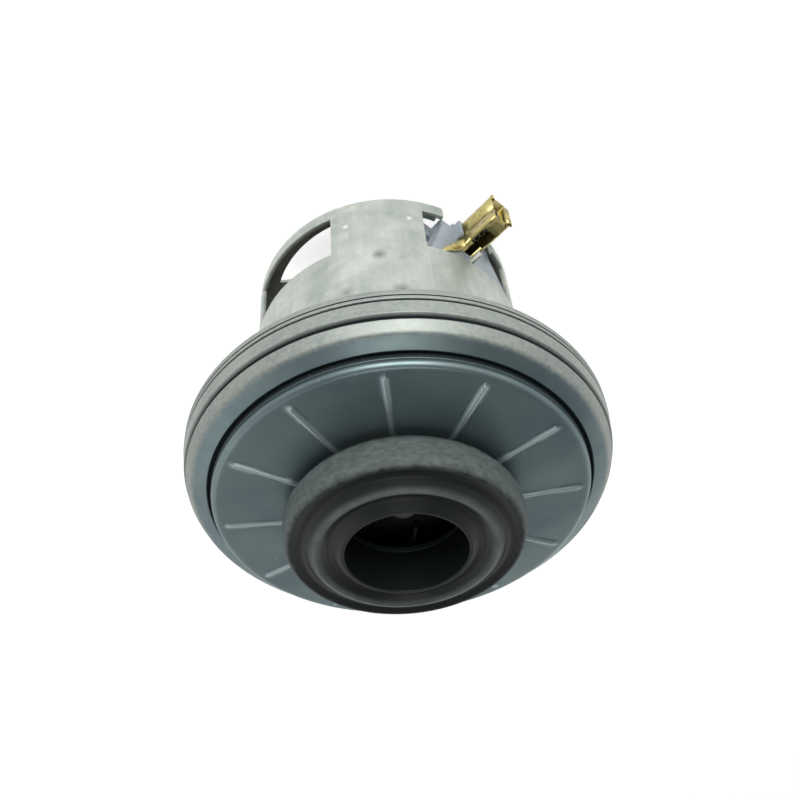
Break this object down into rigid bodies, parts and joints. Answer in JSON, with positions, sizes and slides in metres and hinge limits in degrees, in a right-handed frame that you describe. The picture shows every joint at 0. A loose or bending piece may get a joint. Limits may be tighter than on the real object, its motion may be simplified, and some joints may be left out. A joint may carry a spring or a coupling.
{
  "type": "vacuum motor unit",
  "caption": "Vacuum cleaner motor unit with ribbed steel fan cover, rubber inlet ring, windowed motor frame and brass brush holders.",
  "frame": {"origin": "centre of the rear bearing boss's outer face", "axes": "+Z along the shaft axis, from the rear bearing boss to the air inlet; +X along the bridge across the frame's end"},
  "size_m": [0.131, 0.131, 0.1222],
  "materials": {
    "zinc_steel": "satin",
    "cover_steel": "satin",
    "seal_rubber": "matte",
    "brass": "satin",
    "tinned_steel": "satin",
    "insulator_plastic": "satin",
    "diffuser_plastic": "matte",
    "aluminium_sheet": "satin",
    "bearing_steel": "polished",
    "shaft_steel": "satin",
    "lamination_steel": "satin",
    "winding_copper": "gloss",
    "commutator_copper": "polished",
    "carbon": "matte",
    "spring_steel": "satin"
  },
  "bodies": {
    "housing": {"motor_frame": "zinc_steel", "fan_cover": "cover_steel", "inlet_seal_ring": "seal_rubber", "drive_end_bracket": "zinc_steel", "diffuser": "diffuser_plastic", "bearing_outer_rings": "bearing_steel", "stator_core": "lamination_steel", "field_coil_a": "winding_copper", "field_coil_b": "winding_copper", "brush_insulator_a": "insulator_plastic", "brush_insulator_b": "insulator_plastic", "brush_tube_a": "brass", "brush_tube_b": "brass", "brush_terminal_a": "tinned_steel", "brush_terminal_b": "tinned_steel"},
    "rotor": {"shaft": "shaft_steel", "armature_core": "lamination_steel", "armature_winding": "winding_copper", "commutator": "commutator_copper", "bearing_inner_rings": "bearing_steel", "impeller_back_plate": "aluminium_sheet", "impeller_blades": "aluminium_sheet", "impeller_front_plate": "aluminium_sheet", "impeller_nut": "tinned_steel"},
    "brush_a": {"carbon_brush_a": "carbon", "brush_spring_a": "spring_steel"},
    "brush_b": {"carbon_brush_b": "carbon", "brush_spring_b": "spring_steel"}
  },
  "joints": [
    {"name": "rotor_spin", "type": "hinge", "parent": "housing", "child": "rotor", "pos_m": [0, 0, 0], "axis": [0, 0, 1], "continuous": true},
    {"name": "brush_a_slide", "type": "slide", "parent": "housing", "child": "brush_a", "axis": [-0.7071, -0.7071, 0], "range_m": [0, 0.008], "stiffness_N_per_m": 150, "springref_m": -0.01, "deforming": ["brush_spring_a"]},
    {"name": "brush_b_slide", "type": "slide", "parent": "housing", "child": "brush_b", "axis": [0.7071, 0.7071, 0], "range_m": [0, 0.008], "stiffness_N_per_m": 150, "springref_m": -0.01, "deforming": ["brush_spring_b"]}
  ]
}
